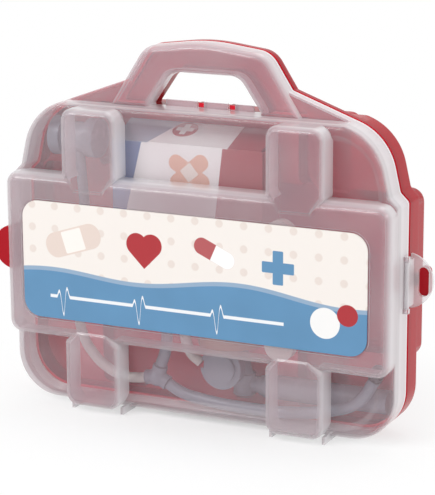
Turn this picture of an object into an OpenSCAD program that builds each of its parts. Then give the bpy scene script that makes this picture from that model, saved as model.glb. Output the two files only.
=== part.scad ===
// Toy doctor case: two moulded half shells hinged along the bottom, with a handle, two side
// latches, a picture label and a set of play instruments inside.
// Millimetres. X across the case, Y through it (front at -Y), Z up from the feet.

/* [Case] */
// Half width of the case at the parting plane
case_half_w = 136; // [132:1:150]
// Height of the case bottom above the surface
foot_h = 4; // [3.5:0.5:6]
// Height of the ledge under the handle
ledge_z = 206; // [202:1:210]
// Height at which the outline narrows towards the shoulders
waist_z = 157; // [154:1:160]
// How far the shoulder lies in from the side
shoulder_in = 13.8; // [11:0.1:17]
// Height of the shoulder corner
shoulder_z = 198; // [192:1:202]
// Wall thickness of both shells
wall = 2; // [1.6:0.1:2.4]
// Depth of the thin shoulder plates from the parting plane
plate_depth = 8; // [7:0.5:10]
// Depth of the deep body's rim from the parting plane
rim_depth = 22; // [20:0.5:26]
// Depth of the recessed panel floor from the parting plane
panel_depth = 18.3; // [17:0.1:19]
// Gap between the rims of the closed shells
parting_gap = 0.3; // [0.1:0.1:0.6]
// Width of the groove behind the front shell's rim
lip_w = 2.4; // [1.6:0.2:3]
// Depth of the groove behind the front shell's rim
lip_in = 1.7; // [1:0.1:2]

/* [Band and straps] */
// Depth of the middle band from the parting plane
band_depth = 34; // [30:0.5:40]
// Bottom of the band
band_z0 = 49.5; // [46:0.5:52]
// Top of the band
band_z1 = 160; // [158:0.5:164]
// Edge radius of the band
band_edge = 7; // [4:0.5:8]
// How far the straps stand over the band
strap_over = 1.5; // [1:0.1:3]
// Inner side of each strap
strap_x0 = 52.5; // [48:0.5:56]
// Width of a strap
strap_w = 39.8; // [34:0.2:44]
// Edge radius of the straps
strap_edge = 5; // [3:0.5:6]

/* [Handle] */
// Half width of the handle at its upper corners
handle_half_w = 42.7; // [38:0.1:46]
// Height of the handle's upper corners
handle_z = 244.9; // [240:0.1:250]
// Rise of the handle's middle above its corners
handle_rise = 5.5; // [3:0.5:8]
// Depth of the handle from the parting plane
handle_depth = 12.5; // [11:0.5:15]
// Edge radius of the handle
handle_edge = 5.5; // [3:0.5:6]
// Thickness of the grip
grip_t = 20; // [17:0.5:22]

/* [Label] */
// Width of the picture label
label_w = 244; // [220:1:246]
// Height of the picture label
label_h = 79; // [70:1:84]
// Thickness of the picture label
label_t = 0.7; // [0.5:0.1:0.9]
// Depth of the label recess
label_recess = 1; // [0.9:0.1:1.2]
// Corner radius of the label
label_r = 11.5; // [6:0.5:16]

/* [Feet] */
// Thickness of a foot rib
rib_t = 2; // [1.6:0.1:3]
// Where the ribs start from the parting plane
rib_y0 = 7; // [6:0.5:10]
// Where the ribs end from the parting plane
rib_y1 = 26.6; // [22:0.2:30]

/* [Hinges] */
// Diameter of the hinge pins
pin_d = 2; // [1.6:0.1:2.2]
// Radial clearance of the pins
pin_clear = 0.05; // [0.02:0.01:0.1]
// Radius of the hinge knuckles
knuckle_r = 1.9; // [1.7:0.1:2]
// Length of one knuckle
knuckle_l = 10; // [8:1:12]
// Distance of each hinge from the middle
hinge_x = 30; // [26:1:32]
// Gap between neighbouring knuckles
knuckle_gap = 0.3; // [0.2:0.1:0.6]

/* [Latches] */
// Height of the latch centres
latch_z = 105.5; // [95:0.5:110]
// Width of the latch tabs
latch_w = 30; // [24:1:34]
// Thickness of the latches
latch_t = 2; // [1.6:0.1:2.4]
// Height of the pull rings
ring_h = 36; // [32:1:40]
// Height of the left latch's thumb plate
thumb_h = 30; // [26:1:32]
// How far the pull rings stand out from the case
ring_out = 14.7; // [13:0.1:18]
// Width of the finger slot in a pull ring
slot_w = 7; // [5:0.5:7.5]
// Height of the finger slot in a pull ring
slot_h = 19; // [14:1:22]
// Rim outside the finger slot
ring_rim = 2.8; // [1.6:0.1:3.4]
// Distance of the right ring behind the parting plane
right_ring_y = 4.5; // [3:0.5:8]
// Distance of the left ring before the parting plane
left_ring_y = 20; // [14:0.5:24]
// Distance of each latch pivot from the parting plane
pivot_y = 7; // [6:0.5:9]
// Clearance between the latches and the case
latch_clear = 0.3; // [0.2:0.1:0.6]

/* [Instruments] */
// Clearance under and between the instruments
seat = 0.3; // [0.2:0.1:0.5]
// Diameter of the pill jar
jar_d = 44; // [36:1:46]
// Height of the pill jar without its lid
jar_h = 56; // [48:1:56]
// Diameter of the jar lid
jar_lid_d = 46; // [40:1:48]
// Height of the jar lid
jar_lid_h = 18; // [14:1:18]
// Width of the first aid carton
carton_w = 107; // [90:1:108]
// Depth of the first aid carton
carton_d = 26; // [20:1:27]
// Height of the first aid carton
carton_h = 57.5; // [50:0.5:60]
// How far the carton's top flap stands open, in degrees
flap_open = 20; // [12:1:24]
// Diameter of the syringe barrel
barrel_d = 26; // [22:1:26]
// Length of the syringe barrel
barrel_l = 55; // [50:1:60]
// Stroke of the syringe plunger
stroke = 20; // [10:1:22]
// Diameter of the hammer handle
hammer_d = 11; // [9:1:13]
// Diameter of the hammer head
hammer_head_d = 26; // [20:1:26]
// Length of the hammer head
hammer_head_l = 33; // [28:1:34]
// Diameter of the otoscope handle
scope_d = 16; // [12:1:17]
// Width of the thermometer
thermo_w = 20; // [16:1:22]
// Length of the thermometer
thermo_l = 92; // [80:1:96]
// Thickness of the thermometer
thermo_t = 7; // [6:0.5:8]
// Height of the thermometer's scale window
scale_h = 46; // [36:1:46]
// Diameter of the stethoscope hose
hose_d = 7; // [5:0.5:7.5]
// Diameter of the stethoscope ear tubes
tube_d = 8; // [6:0.5:8.5]
// Diameter of the stethoscope chest piece
chest_d = 29; // [24:1:30]

/* [Hidden] */
milky = [0.86, 0.80, 0.80, 0.55];
red = [0.78, 0.09, 0.13];
grey = [0.50, 0.53, 0.55];
white = [0.92, 0.91, 0.89];
blue = [0.30, 0.52, 0.74];
round_fn = 48;
eps = 0.01;
cheek_r = 38;
waist_x = case_half_w - 5.7;
shoulder_half_w = case_half_w - shoulder_in;
foot_r = 30;
inner_z = foot_h + wall;
hinge_z = 2.3;
label_margin = 1.2;
pocket_r = knuckle_r + 0.4;
pivot_r = 1.6;
pivot_stub = 3;
stub_r = 0.8;
lug_h = 3;
band_half_w = case_half_w - 0.2;
band_floor = band_z0 + wall;
strap_x1 = strap_x0 + strap_w;
strap_depth = band_depth + strap_over;
label_z = (band_z0 + band_z1) / 2 - 2;
case_top = ledge_z - wall;
leg_dx = 14.9;
leg_dz = 23.3;
leg_x = handle_half_w + leg_dx;
leg_z = handle_z - leg_dz;
foot_x = leg_x + (leg_z - ledge_z + 2) * leg_dx / leg_dz;
handle_top = handle_z + handle_rise;
hole_x0 = foot_x - 28.8;
hole_x1 = handle_half_w - 18.6;
hole_z1 = handle_top - handle_rise * 0.2 - grip_t;

// Outlines as corners [x, z, radius], right half from the bottom up
case_half = [[case_half_w, foot_h, foot_r], [case_half_w, waist_z, 4], [waist_x, waist_z + 5.5, 4],
  [shoulder_half_w, shoulder_z, cheek_r], [leg_x, leg_z, 2], [handle_half_w, handle_z, 16],
  [0, handle_top, 120]];
box_half = [[case_half_w, foot_h, foot_r], [case_half_w, waist_z, 4], [waist_x, waist_z + 5.5, 4],
  [shoulder_half_w, shoulder_z, cheek_r], [shoulder_half_w - 22, ledge_z, 8]];
panel_half = [[case_half_w - 14, foot_h + 9.5, 22], [case_half_w - 13.5, waist_z + 8, 40],
  [shoulder_half_w - 7.7, ledge_z - 10.5, 26]];
band_half = [[band_half_w, band_z0, 9], [band_half_w, band_z1, 9]];
handle_half = [[foot_x, ledge_z - 2, 0.1], [handle_half_w, handle_z, 16], [0, handle_top, 120]];
hole_half = [[hole_x0, ledge_z, 1], [hole_x1, hole_z1, 12]];
label_half = [[label_w / 2, label_z - label_h / 2, label_r], [label_w / 2, label_z + label_h / 2, label_r]];
top_strap = [[strap_x1 - 8.3, band_z1 - 11.5, 2], [strap_x1, band_z1 + 1, 3], [strap_x1, ledge_z - 1, 8],
  [strap_x0, ledge_z - 1, 8], [strap_x0, band_z1 + 1, 3], [strap_x0 + 8.5, band_z1 - 11.5, 2]];
low_strap = [[strap_x1, foot_h + 0.5, 8], [strap_x1, band_z0 - 1, 3], [strap_x1 - 9.3, band_z0 + 7.8, 2],
  [strap_x0 + 8.5, band_z0 + 7.8, 2], [strap_x0, band_z0 - 1, 3], [strap_x0, foot_h + 0.5, 8]];

function unit(v) = v / norm(v);
function turned(v, a) = [v.x * cos(a) - v.y * sin(a), v.x * sin(a) + v.y * cos(a)];
function arc_steps(r) = r < 5 ? 1 : r < 20 ? 3 : 4;

// Corner i of outline c, drawn in by k, as an arc of points
function corner_arc(c, i, k) =
  let (m = len(c), p = [c[i].x, c[i].y], a = c[(i + m - 1) % m], b = c[(i + 1) % m],
    n = arc_steps(c[i].z), u = unit(p - [a.x, a.y]), v = unit([b.x, b.y] - p),
    nu = [-u.y, u.x], nv = [-v.y, v.x], q = p + k * (nu + nv) / (1 + nu * nv),
    t = atan2(cross(u, v), u * v), r = max(c[i].z - k * sign(t), 0.05),
    s = q - u * abs(r * tan(t / 2)), o = s + sign(t) * r * nu)
  [for (j = [0:n]) o + turned(s - o, t * j / n)];
function ring(c, k = 0) = [for (i = [0:len(c) - 1]) each corner_arc(c, i, k)];
function both_sides(r) =
  concat(r, [for (i = [len(r) - 1:-1:0]) if (abs(r[i].x) > 0.01) [-r[i].x, r[i].y, r[i].z]]);
function mirrored(r) = [for (i = [len(r) - 1:-1:0]) [-r[i].x, r[i].y, r[i].z]];

// Skin over rings of points [[points, depth], ...] from back to front, depth along -Y
module loft(rings) {
  n = len(rings[0][0]);
  m = len(rings);
  polyhedron(
    [for (r = rings) for (p = r[0]) [p.x, -r[1], p.y]],
    concat(
      [[for (i = [0:n - 1]) i]],
      [[for (i = [n - 1:-1:0]) (m - 1) * n + i]],
      [for (j = [0:m - 2]) for (i = [0:n - 1])
        [j * n + i, (j + 1) * n + i, (j + 1) * n + (i + 1) % n, j * n + (i + 1) % n]]));
}

// Raised shape of outline c with a rounded front edge
module boss(c, depth, edge, back = 0, k = 0, steps = 2) {
  loft(concat(
    [[ring(c, k), back]],
    [for (s = [0:steps]) [ring(c, k + edge * (1 - cos(90 * s / steps))),
      depth - edge * (1 - sin(90 * s / steps))]]));
}

// Straight block of outline c between two depths
module slab(c, d0, d1, k = 0) {
  translate([0, -d0, 0]) rotate([90, 0, 0]) linear_extrude(d1 - d0) polygon(ring(c, k));
}

module straps(depth, edge, back, k = 0) {
  for (c = [top_strap, low_strap]) {
    boss(c, depth, edge, back, k);
    boss(mirrored(c), depth, edge, back, k);
  }
}

// Finger hole, its edges rounded like the handle's, never cut below the ledge
module finger_hole(k = 0) {
  slab(both_sides(hole_half), -1, plate_depth, k);
  intersection() {
    loft([[ring(both_sides(hole_half), k), plate_depth - 1],
      [ring(both_sides(hole_half), k - 1.6), handle_depth - 2.2],
      [ring(both_sides(hole_half), k - handle_edge), handle_depth + 0.5]]);
    translate([-2 * hole_x0, -2 * handle_depth, ledge_z + k]) cube([4 * hole_x0, 3 * handle_depth, 90]);
  }
}

module hinge_knuckle(x) {
  translate([x - knuckle_l / 2 + knuckle_gap / 2, 0, hinge_z]) rotate([0, 90, 0])
    cylinder(r = knuckle_r, h = knuckle_l - knuckle_gap, $fn = round_fn);
  translate([x - knuckle_l / 2 + knuckle_gap / 2, -3.5, hinge_z - 1.1])
    cube([knuckle_l - knuckle_gap, 2.9, foot_h + 0.5 - hinge_z + 1.1]);
}

// Where the other shell's knuckle turns
module hinge_pocket(x) {
  translate([x - knuckle_l / 2 - knuckle_gap / 2, 0, hinge_z]) rotate([0, 90, 0])
    cylinder(r = pocket_r, h = knuckle_l + knuckle_gap, $fn = round_fn);
}

module hinge_bore(x) {
  translate([x - 2 * knuckle_l, 0, hinge_z]) rotate([0, 90, 0])
    cylinder(r = pin_d / 2 + pin_clear, h = 4 * knuckle_l, $fn = round_fn);
}

// Two ears with stub pins that carry a latch
module latch_lugs() {
  x = case_half_w + latch_clear + pivot_r;
  for (s = [-1, 1]) translate([0, -pivot_y, latch_z + s * (latch_w / 2 + latch_clear + lug_h / 2)]) {
    translate([case_half_w - wall / 2, -pivot_r, -lug_h / 2])
      cube([x + pivot_r - case_half_w + wall / 2, 2 * pivot_r, lug_h]);
    translate([x, 0, -s * (lug_h / 2 + pivot_stub / 2 - eps)])
      cylinder(r = stub_r, h = pivot_stub, center = true, $fn = round_fn);
  }
}

// Knuckle places of a shell: side = -1 holds the middle knuckles, side = 1 the outer ones
function knuckle_places(side) =
  side < 0 ? [-hinge_x, hinge_x]
  : [for (h = [-hinge_x, hinge_x]) for (s = [-1, 1]) h + s * knuckle_l];

module half_shell(side) {
  difference() {
    union() {
      difference() {
        union() {
          boss(both_sides(case_half), plate_depth, 1.5);
          boss(both_sides(box_half), rim_depth, 4.5);
        }
        loft([[ring(both_sides(panel_half)), panel_depth],
          [ring(both_sides(panel_half), -4.5), rim_depth + 0.5]]);
      }
      boss(both_sides(band_half), band_depth, band_edge, 3);
      straps(strap_depth, strap_edge, 4);
      boss(both_sides(handle_half), handle_depth, handle_edge, 1, 0.2);
      for (s = [-1, 1]) for (x = [strap_x0 + 1.5, strap_x1 - 1.8])
        translate([s * x - rib_t / 2, -rib_y1, 0]) cube([rib_t, rib_y1 - rib_y0, foot_h + 1]);
      latch_lugs();
    }
    difference() {
      slab(both_sides(case_half), -1, plate_depth - wall, wall);
      finger_hole(-wall);
    }
    slab(both_sides(box_half), -1, panel_depth - wall, wall);
    boss(both_sides(band_half), band_depth - wall, band_edge - wall, -1, wall);
    intersection() {
      straps(strap_depth - wall, strap_edge - wall, 3, wall);
      translate([-200, -60, inner_z]) cube([400, 60, case_top - inner_z]);
    }
    difference() {
      boss(both_sides(handle_half), handle_depth - wall, handle_edge - wall, -1, wall + 0.2);
      finger_hole(-wall);
    }
    finger_hole();
    slab(both_sides(label_half), band_depth - label_recess, band_depth + 1, -label_margin);
    translate([-300, -parting_gap / 2, -1]) cube([600, 40, 400]);
    for (x = knuckle_places(-side)) hinge_pocket(x);
    for (h = [-hinge_x, hinge_x]) hinge_bore(h);
  }
}

module knuckles(side) {
  difference() {
    for (x = knuckle_places(side)) hinge_knuckle(x);
    for (h = [-hinge_x, hinge_x]) hinge_bore(h);
  }
}

// Low lip on the ledge under the grip
lip_half_w = 31;
lip_h = 4;
notches = [[-8.9, -3.9], [13.1, 18]];

module front_shell() color(milky) {
  half_shell(-1);
  knuckles(-1);
  difference() {
    translate([-lip_half_w, -1.7, ledge_z - 1]) cube([2 * lip_half_w, 1.7 - parting_gap / 2, lip_h + 1]);
    for (n = notches) translate([n[0], -3, ledge_z + 0.3]) cube([n[1] - n[0], 6, lip_h + 1]);
  }
}

// Catch on the back shell's side, its stud behind the right ring's slot
module right_catch() color(red) {
  y = right_ring_y + latch_t + latch_clear;
  x = case_half_w + latch_clear + ring_out - slot_w / 2 - ring_rim;
  translate([x, y, latch_z]) rotate([-90, 0, 0]) linear_extrude(4) union() {
    for (s = [-1, 1]) translate([0, s * (slot_h - slot_w) / 2]) circle(d = slot_w, $fn = 32);
    square([slot_w, slot_h - slot_w], center = true);
  }
  translate([case_half_w + eps, y + 2, latch_z - 4]) cube([x - case_half_w, 2, 8]);
}

// Set-back lip behind the front shell's rim
module parting_lip() {
  difference() {
    slab(both_sides(case_half), parting_gap / 2, lip_w + 1.2, wall - 0.5);
    slab(both_sides(case_half), parting_gap / 2 - 1, lip_w + 2, wall + lip_in);
    finger_hole(-wall);
  }
}

module parting_groove() {
  difference() {
    slab(both_sides(case_half), -1, lip_w, -3);
    slab(both_sides(case_half), -2, lip_w + 1, lip_in);
    finger_hole(-wall);
  }
}

module back_shell() color(red) {
  rotate([0, 0, 180]) difference() {
    union() {
      half_shell(1);
      parting_lip();
    }
    parting_groove();
    for (h = [-hinge_x, hinge_x]) {
      hinge_pocket(h);
      hinge_bore(h);
    }
  }
  rotate([0, 0, 180]) knuckles(1);
  for (n = notches)
    translate([n[0] + 0.5, parting_gap / 2, ledge_z - 1]) cube([n[1] - n[0] - 1, 5, lip_h]);
}

module hinge_pins() color(grey) {
  for (h = [-hinge_x, hinge_x])
    translate([h - 1.5 * knuckle_l, 0, hinge_z]) rotate([0, 90, 0])
      cylinder(d = pin_d, h = 3 * knuckle_l, $fn = round_fn);
}

module label_card() color([0.95, 0.92, 0.88]) {
  slab(both_sides(label_half), band_depth - label_recess + eps, band_depth - label_recess + label_t);
}

// A latch on the right side: pivot barrel, tab along the side wall and pull ring
module latch(reach, h, slotted) {
  x = case_half_w + latch_clear;
  px = x + pivot_r;
  difference() {
    union() {
      translate([px, -pivot_y, latch_z - latch_w / 2]) cylinder(r = pivot_r, h = latch_w, $fn = round_fn);
      translate([x, -pivot_y, latch_z - latch_w / 2]) cube([latch_t, pivot_y + reach, latch_w]);
      intersection() {
        translate([x + ring_out - h / 2, reach, latch_z]) rotate([-90, 0, 0])
          cylinder(d = h, h = latch_t, $fn = 96);
        translate([x, reach - 1, latch_z - h]) cube([2 * ring_out, latch_t + 2, 2 * h]);
      }
    }
    translate([px, -pivot_y, latch_z - latch_w / 2 - 1])
      cylinder(r = stub_r + pin_clear, h = latch_w + 2, $fn = round_fn);
    // finger slot
    if (slotted) translate([x + ring_out - slot_w / 2 - ring_rim, reach - 1, latch_z]) rotate([-90, 0, 0])
      linear_extrude(latch_t + 2) union() {
        for (s = [-1, 1]) translate([0, s * (slot_h - slot_w) / 2]) circle(d = slot_w, $fn = 32);
        square([slot_w, slot_h - slot_w], center = true);
      }
  }
}

module front_latch() color(milky) latch(right_ring_y, ring_h, true);
module back_latch() color(red) rotate([0, 0, 180]) latch(left_ring_y, thumb_h, false);

// ---- instruments held in the case ----
jar_x = 14;
jar_z = band_floor + seat;
jar_lid_z = jar_z + jar_h;
carton_x0 = -63.5;
carton_z = jar_lid_z + jar_lid_h + seat;
jar_wall = 1.5;
carton_y = -panel_depth + wall + seat;
card_t = 0.6;
badge_d = 17;

module first_aid_carton() color(white) {
  difference() {
    translate([carton_x0, carton_y, carton_z]) cube([carton_w, carton_d, carton_h]);
    // open mouth under the flap
    translate([carton_x0 + card_t, carton_y + card_t, carton_z + carton_h - 3])
      cube([carton_w - 2 * card_t, carton_d - 2 * card_t, 4]);
  }
}

// The top flap, hinged at the carton's front edge
module on_flap() {
  translate([carton_x0, carton_y, carton_z + carton_h + eps]) rotate([flap_open, 0, 0]) children();
}

module carton_flap() color(white) {
  on_flap() translate([1, 0, 0]) cube([carton_w - 2, carton_d / cos(flap_open), card_t]);
}

module carton_badge() color(red) {
  on_flap() translate([0.42 * carton_w, 0.7 * carton_d, card_t + eps]) cylinder(d = badge_d, h = 0.4, $fn = round_fn);
}

module pill_jar() color([0.85, 0.55, 0.25]) {
  translate([jar_x, 0, jar_z]) difference() {
    union() {
      cylinder(d = jar_d, h = jar_h - 12, $fn = 64);
      cylinder(d = jar_d - 5, h = jar_h - 2, $fn = 64);
    }
    translate([0, 0, jar_wall]) cylinder(d = jar_d - 5 - 2 * jar_wall, h = jar_h, $fn = 64);
  }
}

module pill_jar_lid() color(white) {
  translate([jar_x, 0, jar_lid_z - 11.7]) difference() {
    union() {
      cylinder(d = jar_lid_d, h = jar_lid_h + 11.7, $fn = 64);
      for (a = [0:30:330]) rotate([0, 0, a]) translate([jar_lid_d / 2 - 0.4, -1, 1]) cube([0.8, 2, jar_lid_h + 9]);
    }
    translate([0, 0, -1]) cylinder(d = jar_d - 5 + 0.6, h = 11.7 + 1, $fn = 64);
  }
}

sticker_z = 8;
sticker_t = 0.4;

module jar_sticker() color(blue) {
  translate([jar_x, 0, jar_z + sticker_z]) difference() {
    cylinder(d = jar_d + 2 * sticker_t, h = jar_h - 3.25 * sticker_z, $fn = 64);
    translate([0, 0, -1]) cylinder(d = jar_d + 2 * eps, h = jar_h, $fn = 64);
  }
}

syringe_x = 84;
syringe_y = 18;
syringe_z = band_floor + seat;
nozzle_h = 8;
barrel_z = syringe_z + nozzle_h;
bore_r = barrel_d / 2 - 1.5;

module syringe_nozzle() color(white) {
  translate([syringe_x, syringe_y, syringe_z]) cylinder(r1 = 2, r2 = 4.5, h = nozzle_h, $fn = round_fn);
}

module syringe_barrel() color([0.8, 0.86, 0.9, 0.6]) {
  translate([syringe_x, syringe_y, barrel_z]) difference() {
    union() {
      cylinder(d = barrel_d, h = barrel_l, $fn = 64);
      translate([-barrel_d / 2 - 5, -6, barrel_l - 3]) cube([barrel_d + 10, 12, 3]);
    }
    translate([0, 0, 2]) cylinder(r = bore_r, h = barrel_l, $fn = 64);
  }
}

module syringe_plunger() color(red) {
  translate([syringe_x, syringe_y, barrel_z + 2 + seat]) {
    cylinder(r = bore_r - pin_clear, h = 5, $fn = 64);
    cylinder(d = 9, h = barrel_l + 6, $fn = round_fn);
    translate([0, 0, barrel_l + 6]) cylinder(d = barrel_d - 3, h = 2.5, $fn = 64);
  }
}

hammer_x = 24.2 - shoulder_half_w;
hammer_lean = 8.2;
hammer_y = 19.5;
neck_d = 7;
hammer_l = (case_top - 12 - hammer_head_d / 2 - band_floor - seat) / cos(hammer_lean) - 3;

// Puts the hammer's own axis on its leaning line, its foot on the back ledge
module on_hammer() {
  translate([hammer_x, hammer_y, band_floor + seat + hammer_d / 2 * sin(hammer_lean)])
    rotate([hammer_lean, 0, 0]) children();
}

module hammer_handle() color(grey) {
  on_hammer() {
    cylinder(d = hammer_d, h = 40, $fn = round_fn);
    translate([0, 0, 40]) cylinder(d1 = hammer_d, d2 = neck_d, h = 6, $fn = round_fn);
    cylinder(d = neck_d, h = hammer_l, $fn = round_fn);
  }
}

module hammer_head() color(grey) {
  on_hammer() difference() {
    translate([0, 0, hammer_l + 3]) rotate([0, 90, 0]) union() {
      cylinder(d = hammer_head_d - 6, h = hammer_head_l - 8, center = true, $fn = 64);
      for (s = [-1, 1]) translate([0, 0, s * (hammer_head_l / 2 - 4)])
        cylinder(d = hammer_head_d, h = 8, center = true, $fn = 64);
    }
    cylinder(d = neck_d + 2 * eps, h = hammer_l, $fn = round_fn);
  }
}

scope_x = case_half_w - 14;
scope_y = panel_depth - wall - seat - scope_d / 2;
scope_z = 22;
scope_l = 92;
neck_h = 4;
scope_neck_d = 11;
cup_d = 15;
cup_l = 14;
cup_z = 10;

// Puts the otoscope flat along the case bottom, its head towards the middle
module on_scope() {
  translate([scope_x, scope_y, scope_z]) rotate([0, -90, 0]) rotate([0, 0, 180]) children();
}

module otoscope_handle() color(grey) {
  on_scope() {
    cylinder(d = scope_d, h = scope_l - 6, $fn = round_fn);
    translate([0, 0, scope_l - 6]) cylinder(d1 = scope_d, d2 = scope_neck_d, h = 6, $fn = round_fn);
  }
}

module otoscope_head() color(grey) {
  on_scope() translate([0, 0, scope_l + eps]) union() {
    cylinder(d = scope_neck_d, h = neck_h, $fn = round_fn);
    translate([0, 0, cup_z]) rotate([0, 90, 0]) cylinder(d = cup_d, h = cup_l, center = true, $fn = round_fn);
    translate([1 - cup_l / 2, 0, cup_z]) rotate([0, -90, 0])
      cylinder(d1 = cup_d - 3, d2 = 5, h = 16, $fn = round_fn);
  }
}

module otoscope_lens() color([0.7, 0.85, 0.9]) {
  on_scope() translate([cup_l / 2 + eps, 0, scope_l + cup_z]) rotate([0, 90, 0])
    cylinder(d = cup_d - 3, h = 1.5, $fn = round_fn);
}

thermo_x = 60;
scale_z = 34;
scale_w = thermo_w - 8;
scale_t = 1;
button_z = 16;
button_d = 10;
thermo_y = -band_depth + wall + 0.8 * (band_edge - wall) + thermo_t;
thermo_z = band_floor + seat;

module thermometer_body() color(white) {
  translate([thermo_x, thermo_y, thermo_z]) rotate([90, 0, 0]) difference() {
    linear_extrude(thermo_t) union() {
      translate([0, thermo_w / 2]) circle(d = thermo_w, $fn = round_fn);
      translate([0, thermo_l - thermo_w / 2]) circle(d = thermo_w, $fn = round_fn);
      translate([-thermo_w / 2, thermo_w / 2]) square([thermo_w, thermo_l - thermo_w]);
    }
    translate([-scale_w / 2, scale_z, thermo_t - scale_t]) cube([scale_w, scale_h, 5]);
    translate([0, button_z, thermo_t - scale_t]) cylinder(d = button_d + 0.2, h = 5, $fn = round_fn);
  }
}

module thermometer_face() color([0.75, 0.85, 0.8]) {
  translate([thermo_x - scale_w / 2, thermo_y - thermo_t, thermo_z + scale_z])
    cube([scale_w, scale_t - eps, scale_h]);
}

module thermometer_button() color(red) {
  translate([thermo_x, thermo_y - thermo_t + scale_t - eps, thermo_z + button_z]) rotate([90, 0, 0])
    cylinder(d = button_d, h = scale_t + 0.2, $fn = round_fn);
}

// Smooth route through hand-chosen points, s steps a stretch
function bent(a, b, c, d, t) = 0.5 * (2 * b + (c - a) * t + (2 * a - 5 * b + 4 * c - d) * t * t
  + (3 * b - a - 3 * c + d) * t * t * t);
function route(p, s) = let (n = len(p)) concat([for (i = [0:n - 2]) for (j = [0:s - 1])
  bent(p[max(i - 1, 0)], p[i], p[i + 1], p[min(i + 2, n - 1)], j / s)], [p[n - 1]]);
function length_of(p, i = 1) = i >= len(p) ? 0 : norm(p[i] - p[i - 1]) + length_of(p, i + 1);

// Round tube along a route that lies close to the XZ plane
module tube_along(p, d, sides) {
  n = len(p);
  rings = [for (i = [0:n - 1]) let (t = unit(p[min(i + 1, n - 1)] - p[max(i - 1, 0)]),
    a = unit(cross(t, [0, 1, 0])), b = cross(t, a))
    [for (j = [0:sides - 1]) p[i] + d / 2 * (cos(360 * j / sides) * a + sin(360 * j / sides) * b)]];
  polyhedron([for (r = rings) each r], concat(
    [[for (j = [0:sides - 1]) j]],
    [[for (j = [sides - 1:-1:0]) (n - 1) * sides + j]],
    [for (i = [0:n - 2]) for (j = [0:sides - 1])
      [i * sides + j, (i + 1) * sides + j, (i + 1) * sides + (j + 1) % sides, i * sides + (j + 1) % sides]]),
    convexity = 6);
}

yoke = [-36, -9, 24];
chest = [11, -8, 36];
low_route = [[-27.8, -9, 19.9], [-18, -9, 15.3], [0, -9, 12.2], [30, -9, 10.8], [60, -9, 12], [case_half_w - 48, -9, 17],
  [case_half_w - 28, -9, 26], [case_half_w - 18, -9, 41]];
high_route = [[-33.4, -9, 32.4], [-30, -9, 42], [-28, -10, 60], [-31, -11, 80], [-39, -12, 96]];
hose_route = [[-44.2, -9, 22.5], [-50.3, -9, 21.4], [-60, -9, 21], [-72, -9.5, 25], [-84, -11, 36], [-91, -13, 52],
  [-90, -15, 72], [-80, -16, 94], [-62, -17, 110], [-40, -17, 112], [-24, -16, 98], [-17, -13, 76],
  [-15, -10, 56], [-11, -8.5, 43], [-4, -8, 37.5]];

module steth_yoke() color(grey) {
  translate(yoke) {
    sphere(r = 6.5, $fn = round_fn);
    rotate([0, -100, 0]) cylinder(d = 10, h = 8, $fn = round_fn);
    rotate([0, 17, 0]) cylinder(d = tube_d + 2, h = 8.2, $fn = round_fn);
    rotate([0, 116, 0]) cylinder(d = tube_d + 2, h = 8.6, $fn = round_fn);
  }
}

module steth_arm_low() color(grey) tube_along(route(low_route, 3), tube_d, 10);
module steth_arm_high() color(grey) tube_along(route(high_route, 3), tube_d, 10);
module steth_hose() color(white) tube_along(route(hose_route, 3), hose_d, 10);

low_tip_turn = 22;
high_tip_turn = -30;
tip_h = 6;
tip_r = 5;

module ear_tip(p, dir) {
  translate(p) rotate([0, dir, 0]) {
    cylinder(d1 = tube_d + 1, d2 = 1.8 * tip_r, h = tip_h / 2, $fn = round_fn);
    translate([0, 0, tip_h]) sphere(r = tip_r, $fn = round_fn);
    cylinder(r = 0.65 * tip_r, h = tip_h, $fn = round_fn);
  }
}

module steth_ear_tips() color([0.25, 0.26, 0.28]) {
  ear_tip(low_route[7] + [0.2, 0, 0.4], low_tip_turn);
  ear_tip(high_route[4] + [-0.2, 0, 0.4], high_tip_turn);
}

chest_t = 9;
disc_t = 1;
heart_w = 7;

module chest_piece() color(grey) {
  translate([chest.x, chest.y + chest_t / 2, chest.z]) rotate([90, 0, 0]) difference() {
    cylinder(d = chest_d, h = chest_t, $fn = 64);
    translate([0, 0, -2]) cylinder(d = chest_d - 5, h = 2 + disc_t, $fn = 64);
    // step round the closed side
    translate([0, 0, chest_t - 2]) difference() {
      cylinder(d = chest_d + 2, h = 3, $fn = 64);
      translate([0, 0, -1]) cylinder(d = chest_d - 8, h = 5, $fn = 64);
    }
    translate([-chest_d / 2 - 1, 1.5, chest_t / 2]) rotate([0, 90, 0])
      cylinder(d = hose_d + 0.3, h = 3.4, $fn = round_fn);
  }
}

module chest_disc() color(white) {
  translate([chest.x, chest.y + chest_t / 2 - disc_t + eps, chest.z]) rotate([-90, 0, 0])
    cylinder(d = chest_d - 5 - 2 * eps, h = disc_t - 2 * eps, $fn = 64);
}

module chest_heart() color(red) {
  translate([chest.x, chest.y + chest_t / 2, chest.z - 1]) rotate([90, 0, 180]) linear_extrude(0.8) union() {
    rotate(45) square(heart_w, center = true);
    for (a = [0, 90]) rotate(45 + a) translate([heart_w / 2, 0]) circle(d = heart_w, $fn = 32);
  }
}

front_shell();
back_shell();
hinge_pins();
label_card();
front_latch();
back_latch();
right_catch();
first_aid_carton();
carton_flap();
carton_badge();
pill_jar();
pill_jar_lid();
jar_sticker();
syringe_barrel();
syringe_nozzle();
syringe_plunger();
hammer_handle();
hammer_head();
otoscope_handle();
otoscope_head();
otoscope_lens();
thermometer_body();
thermometer_face();
thermometer_button();
steth_yoke();
steth_arm_low();
steth_arm_high();
steth_ear_tips();
steth_hose();
chest_piece();
chest_disc();
chest_heart();
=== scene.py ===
"""Toy doctor case: translucent front shell, red back shell, label, latches and play instruments."""
import math

import bmesh
import bpy
from bpy.props import FloatProperty, FloatVectorProperty, IntProperty, PointerProperty
from mathutils import Matrix, Vector


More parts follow.
